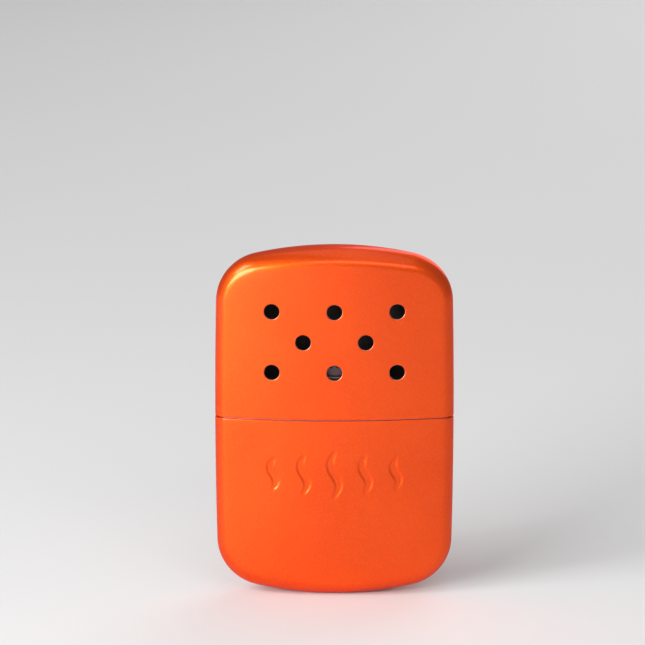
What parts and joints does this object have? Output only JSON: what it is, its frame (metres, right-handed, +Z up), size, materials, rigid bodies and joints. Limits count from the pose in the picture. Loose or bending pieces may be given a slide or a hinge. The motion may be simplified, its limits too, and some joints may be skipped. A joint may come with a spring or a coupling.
{
  "type": "catalytic hand warmer",
  "caption": "Flat pocket-size refillable hand warmer: a metal fuel tank with a pull-off vented lid, and a lift-off catalytic burner on the tank's filler neck.",
  "frame": {"origin": "middle of the flat foot that the case stands on", "axes": "+Z up the case, front face towards -Y, +X to the right seen from the front"},
  "size_m": [0.067, 0.014, 0.1],
  "materials": {
    "case_paint": "satin orange enamel with a clear gloss",
    "plated_steel": "satin",
    "burner_steel": "satin, slightly heat-tinted",
    "braze": "dull",
    "cotton": "loose wadding",
    "felt": "pressed felt",
    "glass_fibre": "woven glass fibre, dusted grey"
  },
  "bodies": {
    "tank": {"tank_shell": "case_paint", "tank_cap": "plated_steel", "braze_seam": "braze", "filler_neck": "plated_steel", "absorbent_wadding": "cotton", "neck_wick": "felt"},
    "lid": {"lid_shell": "case_paint"},
    "burner": {"burner_skirt": "burner_steel", "burner_housing": "burner_steel", "catalyst_support": "burner_steel", "catalyst_pad": "glass_fibre", "catalyst_retainer": "burner_steel"}
  },
  "joints": [
    {"name": "lid_slide", "type": "slide", "parent": "tank", "child": "lid", "axis": [0, 0, 1], "range_m": [0, 0.06]},
    {"name": "burner_slide", "type": "slide", "parent": "tank", "child": "burner", "axis": [0, 0, 1], "range_m": [0, 0.015]}
  ]
}
